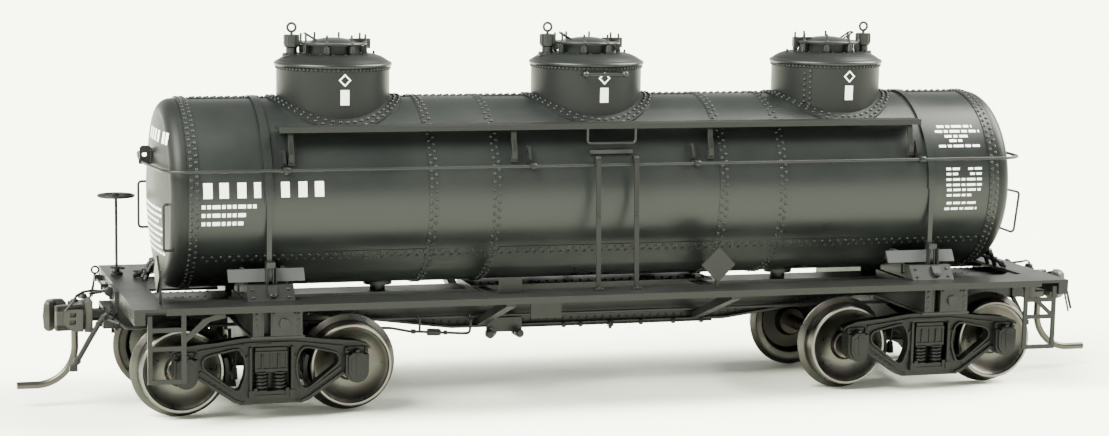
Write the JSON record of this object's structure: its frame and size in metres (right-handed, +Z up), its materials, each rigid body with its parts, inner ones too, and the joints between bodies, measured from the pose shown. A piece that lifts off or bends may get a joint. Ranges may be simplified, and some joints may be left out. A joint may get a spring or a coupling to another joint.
{
  "type": "model tank wagon",
  "caption": "Scale model of a riveted multi-dome tank wagon with open underframe, swivelling trucks, turning wheels and sprung knuckle couplers.",
  "frame": {"origin": "on the table under the middle of the wagon, where the wheel flanges stand", "axes": "+X towards the end without the handbrake, +Z up, -Y towards the side seen from the right of a wagon whose handbrake end is on the left"},
  "size_m": [0.134, 0.0326, 0.0437],
  "materials": {
    "satin_black": "satin",
    "frame_black": "satin",
    "wire_black": "satin",
    "truck_black": "matt",
    "board_grey": "matt",
    "wheel_steel": "turned, plate darkened",
    "coupler_bronze": "oxidised",
    "screw_steel": "blackened",
    "ballast_iron": "bare"
  },
  "bodies": {
    "wagon": {"tank_shell": "satin_black", "tank_head_b": "satin_black", "tank_head_a": "satin_black", "dome_b": "satin_black", "dome_c": "satin_black", "dome_a": "satin_black", "manway_lids": "satin_black", "manway_eyebolts": "satin_black", "safety_valves": "satin_black", "tank_straps": "satin_black", "centre_sill": "frame_black", "side_sill_r": "frame_black", "side_sill_l": "frame_black", "end_sill_b": "frame_black", "end_sill_a": "frame_black", "body_bolster_b": "frame_black", "body_bolster_a": "frame_black", "tank_saddles": "frame_black", "crossbearers": "frame_black", "running_board_r": "frame_black", "running_board_l": "frame_black", "running_board_brackets": "frame_black", "handrail_posts": "frame_black", "ladder_stiles": "frame_black", "outlet_valves": "frame_black", "brake_cylinder": "frame_black", "brake_rigging": "frame_black", "sill_steps": "frame_black", "draft_box_b": "frame_black", "draft_box_a": "frame_black", "air_hoses": "frame_black", "handbrake_staff": "frame_black", "handbrake_wheel": "frame_black", "placard_boards": "frame_black", "saddle_boards": "board_grey", "handrail": "wire_black", "grab_irons": "wire_black", "boarding_stirrups": "wire_black", "cut_levers": "wire_black", "train_pipe": "wire_black", "strap_turnbuckles": "wire_black", "kingpin_screws": "screw_steel", "draft_box_screws": "screw_steel", "ballast_weight": "ballast_iron"},
    "truck_b": {"sideframes_b": "truck_black", "truck_bolster_b": "truck_black", "truck_springs_b": "truck_black", "brake_beams_b": "truck_black"},
    "truck_a": {"sideframes_a": "truck_black", "truck_bolster_a": "truck_black", "truck_springs_a": "truck_black", "brake_beams_a": "truck_black"},
    "wheelset_b_outer": {"wheelset_b_outer": "wheel_steel"},
    "wheelset_b_inner": {"wheelset_b_inner": "wheel_steel"},
    "wheelset_a_outer": {"wheelset_a_outer": "wheel_steel"},
    "wheelset_a_inner": {"wheelset_a_inner": "wheel_steel"},
    "coupler_b": {"coupler_b": "coupler_bronze"},
    "coupler_a": {"coupler_a": "coupler_bronze"},
    "knuckle_b": {"knuckle_b": "coupler_bronze"},
    "knuckle_a": {"knuckle_a": "coupler_bronze"}
  },
  "joints": [
    {"name": "truck_b_swivel", "type": "hinge", "parent": "wagon", "child": "truck_b", "pos_m": [-0.0401, 0, 0.0097], "axis": [0, 0, 1], "range_deg": [-12, 12]},
    {"name": "truck_a_swivel", "type": "hinge", "parent": "wagon", "child": "truck_a", "pos_m": [0.0401, 0, 0.0097], "axis": [0, 0, 1], "range_deg": [-12, 12]},
    {"name": "wheelset_b_outer_spin", "type": "hinge", "parent": "truck_b", "child": "wheelset_b_outer", "pos_m": [-0.04972, 0, 0.00553], "axis": [0, 1, 0], "continuous": true},
    {"name": "wheelset_b_inner_spin", "type": "hinge", "parent": "truck_b", "child": "wheelset_b_inner", "pos_m": [-0.03047, 0, 0.00553], "axis": [0, 1, 0], "continuous": true},
    {"name": "wheelset_a_outer_spin", "type": "hinge", "parent": "truck_a", "child": "wheelset_a_outer", "pos_m": [0.04972, 0, 0.00553], "axis": [0, 1, 0], "continuous": true},
    {"name": "wheelset_a_inner_spin", "type": "hinge", "parent": "truck_a", "child": "wheelset_a_inner", "pos_m": [0.03047, 0, 0.00553], "axis": [0, 1, 0], "continuous": true},
    {"name": "coupler_b_swing", "type": "hinge", "parent": "wagon", "child": "coupler_b", "pos_m": [-0.0526, 0, 0.0106], "axis": [0, 0, 1], "range_deg": [-10, 10], "stiffness_Nm_per_rad": 0.0002},
    {"name": "coupler_a_swing", "type": "hinge", "parent": "wagon", "child": "coupler_a", "pos_m": [0.0526, 0, 0.0106], "axis": [0, 0, 1], "range_deg": [-10, 10], "stiffness_Nm_per_rad": 0.0002},
    {"name": "knuckle_b_open", "type": "hinge", "parent": "coupler_b", "child": "knuckle_b", "pos_m": [-0.0604, 0.0009, 0.0106], "axis": [0, 0, -1], "range_deg": [0, 25], "stiffness_Nm_per_rad": 0.0001},
    {"name": "knuckle_a_open", "type": "hinge", "parent": "coupler_a", "child": "knuckle_a", "pos_m": [0.0604, -0.0009, 0.0106], "axis": [0, 0, -1], "range_deg": [0, 25], "stiffness_Nm_per_rad": 0.0001}
  ]
}
